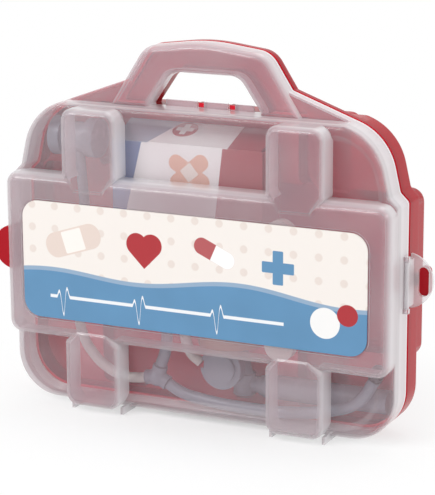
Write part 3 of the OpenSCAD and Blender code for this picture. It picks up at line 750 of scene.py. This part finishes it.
def finger_hole(s, o, inset=0.0):
    """The hole under the grip, its edges rounded like the handle's and never below the ledge."""
    straight = slab(o.hole, -OVER, s.plate_depth, inset, s.arc)
    rings = [(outline(o.hole, inset, s.arc), s.plate_depth - OVER)]
    rings += rounded_rings(o.hole, s.handle_depth + HAIR, -s.handle_edge, inset, s.arc, s.steps)
    rings.append((outline(o.hole, inset - s.handle_edge, s.arc), s.handle_depth + OVER))
    half, front, behind, top = 0.1, 0.03, 0.01, 0.3  # well past the hole
    above_ledge = brick((-half, -front, s.ledge + inset), (half, behind, top))
    return straight + (loft(rings) & above_ledge)


def latch_lugs(s):
    """Two ears with stub pins that carry a latch, on the right side."""
    ear_x, ear_y, ear_half, ear_rise, ear_gap = 0.0019, 0.007, 0.0016, 0.0015, 0.0018
    pin_offset, pin_half, pin_radius = 0.0028, 0.0017, 0.0008
    x = s.half_width + ear_x
    ears = []
    for side in (-1, 1):
        z = s.latch_height + side * (s.latch_width / 2 + ear_gap)
        ear = brick((s.half_width - s.wall / 2, -ear_y - ear_half, z - ear_rise),
                    (x + ear_half, -ear_y + ear_half, z + ear_rise))
        ears.append(ear + rod((x, -ear_y, z - side * pin_offset), pin_half, pin_radius))
    return joined(ears)


def hinge_places(s, outer):
    """Where a half's knuckles sit: one in the middle of each hinge, or the two beside it."""
    steps = (-1, 1) if outer else (0,)
    return [h + k * s.knuckle for h in (-s.hinge_place, s.hinge_place) for k in steps]


def hinge_bores(s):
    """What the hinge pins take out of both halves."""
    return joined([rod((h, 0.0, s.hinge_height), 2 * s.knuckle, PIN_BORE, "X")
                   for h in (-s.hinge_place, s.hinge_place)])


def knuckles(s, outer):
    """Bored hinge knuckles with the necks that join them to the case bottom."""
    neck_back, neck_front, neck_sunk, neck_over = 0.0006, 0.0035, 0.0011, 0.0005
    half = s.knuckle / 2 - KNUCKLE_PLAY
    row = []
    for x in hinge_places(s, outer):
        neck = brick((x - half, -neck_front, s.hinge_height - neck_sunk),
                     (x + half, -neck_back, s.foot + neck_over))
        row.append(rod((x, 0.0, s.hinge_height), half, s.knuckle_radius, "X") + neck)
    return joined(row) - hinge_bores(s)


def clear_of_knuckles(s, body, outer):
    """Cuts the room in which the other half's knuckles turn."""
    for x in hinge_places(s, outer):
        body -= rod((x, 0.0, s.hinge_height), s.knuckle / 2 + KNUCKLE_PLAY,
                    s.knuckle_radius + KNUCKLE_ROOM, "X")
    return body


def parting_step(s, o):
    """Lip and groove that set the back half's rim behind the front one: added, then cut."""
    lip_reach, lip_root, outside = 0.0012, 0.0005, 0.003
    lip = slab(o.case, s.gap / 2, s.groove_width + lip_reach, s.wall - lip_root, s.arc)
    lip -= slab(o.case, s.gap / 2 - OVER, s.groove_width + 2 * OVER, s.wall + s.groove, s.arc)
    lip -= finger_hole(s, o, -s.wall)
    cut = slab(o.case, -OVER, s.groove_width, -outside, s.arc)
    cut -= slab(o.case, -2 * OVER, s.groove_width + OVER, s.groove, s.arc)
    cut -= finger_hole(s, o, -s.wall)
    return lip, cut


def half_shell(s, o, back):
    """One hollow half of the case, facing -Y."""
    arc, steps, wall = s.arc, s.steps, s.wall
    band_root, strap_root, handle_root, pocket_root = 0.003, 0.004, 0.001, 0.003
    rib_half, rib_front, rib_back = 0.001, 0.0266, 0.007
    strap_depth = s.band_depth + s.strap_over

    body = boss(o.case, s.plate_depth, PLATE_EDGE, 0.0, 0.0, arc, 3)
    deep = boss(o.box, s.rim_depth, RIM_EDGE, 0.0, 0.0, arc, steps)
    deep -= loft([(outline(o.panel, 0.0, arc), s.panel_depth),
                  (outline(o.panel, -PANEL_EDGE, arc), s.rim_depth + OVER / 2)])
    body += deep
    body += boss(o.band, s.band_depth, s.band_edge, band_root, 0.0, arc, steps)
    for corners in o.straps:
        body += boss(corners, strap_depth, s.strap_edge, strap_root, 0.0, arc, steps)
    body += boss(o.handle, s.handle_depth, s.handle_edge, handle_root, HANDLE_STEP, arc, steps)
    for x in o.ribs:
        body += brick((x - rib_half, -rib_front, 0.0), (x + rib_half, -rib_back, s.foot + OVER))
    body += latch_lugs(s)

    body -= slab(o.case, -OVER, s.plate_depth - wall, wall, arc) - finger_hole(s, o, -wall)
    body -= slab(o.box, -OVER, s.panel_depth - wall, wall, arc)
    body -= boss(o.band, s.band_depth - wall, s.band_edge - wall, -OVER, wall, arc, steps)
    half, front = 0.2, 0.06  # well past the case
    inside = brick((-half, -front, s.foot + wall), (half, OVER, s.ledge - wall))
    pockets = joined([boss(corners, strap_depth - wall, s.strap_edge - wall, pocket_root, wall,
                           arc, steps) for corners in o.straps])
    body -= pockets & inside
    grip = boss(o.handle, s.handle_depth - wall, s.handle_edge - wall, -OVER,
                wall + HANDLE_STEP, arc, steps)
    body -= grip - finger_hole(s, o, -wall)
    body -= finger_hole(s, o)
    body -= slab(o.label, s.band_depth - s.label_recess, s.band_depth + OVER, -s.label_margin, arc)
    half, behind, under, top = 0.3, 0.04, 0.01, 0.4  # all that lies behind the parting plane
    body -= brick((-half, -s.gap / 2, -under), (half, behind, top))

    body = clear_of_knuckles(s, body, not back)
    if back:
        lip, cut = parting_step(s, o)
        body = clear_of_knuckles(s, (body + lip) - cut, False)
    body -= hinge_bores(s)
    body += knuckles(s, back)
    return body


class CASE_OT_shells(bpy.types.Operator):
    """Builds the milky front shell and the red back shell"""
    bl_idname = "doctor_case.shells"
    bl_label = "Shells"

    def execute(self, context):
        s, tones = context.scene.case_sizes, context.scene.case_colours
        o = CaseOutlines(s)
        # A low fence on the front's ledge, with two gaps that take two catches of the back half
        gap_starts = (-0.0089, 0.0131)
        fence_half, fence_front, fence_height = 0.031, 0.0017, 0.004
        gap_depth, gap_width, gap_floor, gap_top = 0.003, 0.005, 0.0003, 0.006
        catch_depth, catch_width, catch_height, catch_play = 0.005, 0.004, 0.003, 0.0005
        front = half_shell(s, o, False)
        fence = brick((-fence_half, -fence_front, s.ledge - OVER),
                      (fence_half, -s.gap / 2, s.ledge + fence_height))
        for x in gap_starts:
            fence -= brick((x, -gap_depth, s.ledge + gap_floor),
                           (x + gap_width, gap_depth, s.ledge + gap_top))
        front += fence
        # The milky flats carry a painted rose that stands in for the red back shell's light
        frosted = milky_plastic("milky plastic", tones.milky, SHELL_VEILS, 0.48, 0.04, tones.pale)
        piece(front, "milky_front", frosted, "lid", ["front_shell"])
        back = half_shell(s, o, True)
        back.obj.data.transform(Matrix.Rotation(math.pi, 4, "Z"))
        for gap_start in gap_starts:
            x = gap_start + catch_play
            back += brick((x, s.gap / 2, s.ledge - OVER),
                          (x + catch_width, catch_depth, s.ledge + catch_height))
        # The inner faces get the painted lighter red that stands in for light through the front
        # shell
        glossy = glossy_red("glossy red plastic", tones.red, tones.inside)
        piece(back, "red_back", glossy, "case_back", ["back_shell"])
        return {"FINISHED"}


class CASE_OT_label(bpy.types.Operator):
    """Makes the printed picture label on the band"""
    bl_idname = "doctor_case.label"
    bl_label = "Label"

    def execute(self, context):
        s, tones = context.scene.case_sizes, context.scene.case_colours
        o = CaseOutlines(s)
        card_thickness, card_edge = 0.0007, 0.0003
        depth = s.band_depth - s.label_recess
        card = boss(o.label, depth + card_thickness, card_edge, depth + HAIR, 0.0, s.arc, 2)
        print_finish = printed_label("label print", tones, o.label_low / MM, o.label_high / MM)
        piece(card, "picture_label", print_finish, "lid", ["label_card"])
        return {"FINISHED"}


class CASE_OT_stethoscope(bpy.types.Operator):
    """Lays the stethoscope's hose and ear tubes along the case bottom"""
    bl_idname = "doctor_case.stethoscope"
    bl_label = "Stethoscope"

    def execute(self, context):
        tones = context.scene.case_colours
        white = moulded("white hose", tones.white, 0.32, 0.03)
        grey = moulded("grey tube", tones.grey, 0.26)
        hose_radius, ear_tube_radius = 0.0035, 0.004
        tube("hose", [(-44.2, -9, 22.5), (-50.3, -9, 21.4), (-60, -9, 21), (-72, -9.5, 25),
                      (-84, -11, 36), (-91, -13, 52), (-90, -15, 72), (-80, -16, 94),
                      (-62, -17, 110), (-40, -17, 112), (-24, -16, 98), (-17, -13, 76),
                      (-15, -10, 56), (-11, -8.5, 43), (-4, -8, 37.5)],
             hose_radius, white, "case_back", ["steth_hose"])
        tube("low_ear_tube", [(-27.8, -9, 19.9), (-18, -9, 15.3), (0, -9, 12.2), (30, -9, 10.8),
                              (60, -9, 12), (88, -9, 17), (108, -9, 26), (118, -9, 41)],
             ear_tube_radius, grey, "case_back", ["steth_arm_low"])
        tube("high_ear_tube", [(-33.4, -9, 32.4), (-30, -9, 42), (-28, -10, 60),
                               (-31, -11, 80), (-39, -12, 96)],
             ear_tube_radius, grey, "case_back", ["steth_arm_high"])
        return {"FINISHED"}


class CASE_OT_finishes(bpy.types.Operator):
    """Gives the solid instruments, pins and latches their finishes"""
    bl_idname = "doctor_case.finishes"
    bl_label = "Instrument finishes"

    def execute(self, context):
        tones = context.scene.case_colours
        grey = moulded("grey plastic", tones.grey, 0.26)
        white = moulded("white plastic", tones.white, 0.25, 0.03)
        red = glossy_red("red parts", tones.red)
        clear = milky_plastic("clear plastic", tones.clear, veil=0.2, edge=0.2)
        amber = milky_plastic("amber plastic", tones.amber, veil=0.7, edge=0.1)
        dark = moulded("dark soft plastic", tones.dark, 0.6, 0.08, 0.08)
        sticker = moulded("sticker print", tones.blue, 0.35, 0.06)
        finishes = {
            "hinge_pins": brushed_steel("steel wire", tones.steel),
            "front_latch": milky_plastic("milky latch", tones.pale, veil=0.34, edge=0.3, bump=0.01),
            "back_latch": red, "right_catch": red,
            "first_aid_carton": printed_carton("carton print", tones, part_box("first_aid_carton")),
            "carton_flap": printed_flap("carton flap print", tones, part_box("carton_flap")),
            "carton_badge": printed_badge("carton badge", tones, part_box("carton_badge")),
            "pill_jar": amber, "pill_jar_lid": white, "jar_sticker": sticker,
            "syringe_barrel": clear, "syringe_nozzle": white, "syringe_plunger": red,
            "hammer_handle": grey, "hammer_head": grey,
            "otoscope_handle": grey, "otoscope_head": grey, "otoscope_lens": clear,
            "thermometer_body": white, "thermometer_button": red,
            "thermometer_face": moulded("thermometer face", scaled(tones.clear, 0.9), 0.2),
            "steth_yoke": grey, "steth_ear_tips": dark,
            "chest_piece": grey, "chest_disc": white, "chest_heart": red,
        }
        for node, finish in finishes.items():
            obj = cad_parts[node]
            obj.data.materials.clear()
            obj.data.materials.append(finish.material)
            if node in ("steth_yoke", "steth_ear_tips"):  # clears faces of no area on their balls
                obj.modifiers.new("weld", "WELD").merge_threshold = HAIR
            soft = obj.modifiers.new("moulded edge", "BEVEL")
            soft.width, soft.segments, soft.limit_method = 0.0005, 2, "ANGLE"
            soft.angle_limit = math.radians(50)
            soft.harden_normals = False
        return {"FINISHED"}


def place_camera(scene):
    """Sets the camera where the photograph was taken from."""
    az, el, roll = [math.radians(a) for a in (AZIMUTH, ELEVATION, ROLL)]
    back = Vector((math.sin(az) * math.cos(el), -math.cos(az) * math.cos(el), math.sin(el)))
    right = Vector((math.cos(az), math.sin(az), 0.0))
    up = back.cross(right)
    right, up = (math.cos(roll) * right + math.sin(roll) * up,
                 math.cos(roll) * up - math.sin(roll) * right)
    lens = bpy.data.cameras.new("camera")
    lens.sensor_width = SENSOR_MM
    lens.lens = FOCAL_PIXELS / PHOTO_SIZE[1] * SENSOR_MM
    lens.clip_start, lens.clip_end = 0.05, 20.0
    camera = bpy.data.objects.new("camera", lens)
    scene.collection.objects.link(camera)
    at = Vector(LOOK_AT) + back * CAMERA_DISTANCE
    camera.matrix_world = Matrix.Translation(at) @ Matrix((right, up, back)).transposed().to_4x4()
    scene.camera = camera


def hang_lamps(scene):
    """Hangs round soft lamps that face the case."""
    for name, place, size, power in LAMPS:
        lamp = bpy.data.lights.new(name, "AREA")
        lamp.shape, lamp.size, lamp.energy = "DISK", size, power
        holder = bpy.data.objects.new(name, lamp)
        holder.location = place
        away = Vector(place) - Vector(LAMP_TARGET)
        holder.rotation_euler = away.to_track_quat("Z", "Y").to_euler()
        scene.collection.objects.link(holder)


def light_world(scene):
    """Soft light from all round, which camera, glossy and transmission rays see as white."""
    world = bpy.data.worlds.new("studio")
    world.use_nodes = True
    scene.world = world
    nodes, links = world.node_tree.nodes, world.node_tree.links
    ray = nodes.new("ShaderNodeLightPath")
    level = nodes.new("ShaderNodeMath")
    level.operation = "MULTIPLY_ADD"
    seen = ray.outputs[SHOWS_WHITE[0]]
    for kind in SHOWS_WHITE[1:]:
        most = nodes.new("ShaderNodeMath")
        most.operation = "MAXIMUM"
        links.new(seen, most.inputs[0])
        links.new(ray.outputs[kind], most.inputs[1])
        seen = most.outputs[0]
    links.new(seen, level.inputs[0])
    level.inputs[1].default_value = 1 - WORLD_LIGHT
    level.inputs[2].default_value = WORLD_LIGHT
    nodes["Background"].inputs[0].default_value = (1, 1, 1, 1)
    links.new(level.outputs[0], nodes["Background"].inputs[1])


def lay_floor(scene):
    """A wide floor that keeps the case's shadow, whitens outwards and is clear from below."""
    floor = bpy.data.meshes.new("floor")
    shape = bmesh.new()
    bmesh.ops.create_grid(shape, x_segments=8, y_segments=8, size=4.0)
    shape.to_mesh(floor)
    shape.free()
    ground = bpy.data.objects.new("floor", floor)
    scene.collection.objects.link(ground)
    f = Finish("floor")
    f.give(base_color=f.shade(scene.case_colours.floor, 0.004, f.noise(400)), roughness=0.9,
           specular_ior_level=0.0)
    x, y, _ = f.xyz()
    far = ((x * x + y * y).root() - WHITE_FROM) / WHITE_OVER
    far = far.math("ADD", FLOOR_WHITE, use_clamp=True)
    seen = f.add("ShaderNodeLightPath", out=SHOWS_WHITE[0])
    for kind in SHOWS_WHITE[1:]:
        seen = seen.most(f.add("ShaderNodeLightPath", out=kind))
    glow = f.add("ShaderNodeEmission", {"Color": (1, 1, 1, 1), "Strength": 1.0})
    paper = Wire(f, f.surface.outputs[0])
    blend = f.add("ShaderNodeMixShader", [far * seen, paper, glow])
    below = f.add("ShaderNodeNewGeometry", out="Backfacing")
    blend = f.add("ShaderNodeMixShader", [below, blend, f.add("ShaderNodeBsdfTransparent")])
    f.tree.links.new(blend.socket, f.tree.nodes["Material Output"].inputs[0])
    floor.materials.append(f.material)


class CASE_OT_stage(bpy.types.Operator):
    """Sets the camera, the lamps and the white floor"""
    bl_idname = "doctor_case.stage"
    bl_label = "Stage"

    def execute(self, context):
        scene = context.scene
        scene.view_settings.view_transform = "Standard"
        place_camera(scene)
        hang_lamps(scene)
        light_world(scene)
        lay_floor(scene)
        return {"FINISHED"}


class CASE_PT_panel(bpy.types.Panel):
    """Lists the steps that build the case"""
    bl_idname = "CASE_PT_panel"
    bl_label = "Doctor Case"
    bl_space_type = "VIEW_3D"
    bl_region_type = "UI"
    bl_category = "Doctor Case"

    def draw(self, context):
        for step in STEPS:
            self.layout.operator(step.bl_idname, text=step.bl_label)
        for group in (context.scene.case_sizes, context.scene.case_colours):
            box = self.layout.box()
            for key in group.__annotations__:
                box.prop(group, key)


STEPS = (CASE_OT_stage, CASE_OT_shells, CASE_OT_label, CASE_OT_stethoscope, CASE_OT_finishes)
CLASSES = (CaseSizes, CaseColours, *STEPS, CASE_PT_panel)


def register():
    """Adds the sizes, colours, steps and panel to Blender."""
    for part in CLASSES:
        bpy.utils.register_class(part)
    bpy.types.Scene.case_sizes = PointerProperty(type=CaseSizes)
    bpy.types.Scene.case_colours = PointerProperty(type=CaseColours)


def unregister():
    """Takes them out again."""
    del bpy.types.Scene.case_colours
    del bpy.types.Scene.case_sizes
    for part in reversed(CLASSES):
        bpy.utils.unregister_class(part)


def main():
    """Builds the case."""
    register()
    for step in STEPS:
        group, name = step.bl_idname.split(".")
        getattr(getattr(bpy.ops, group), name)()


if __name__ == "__main__":
    main()
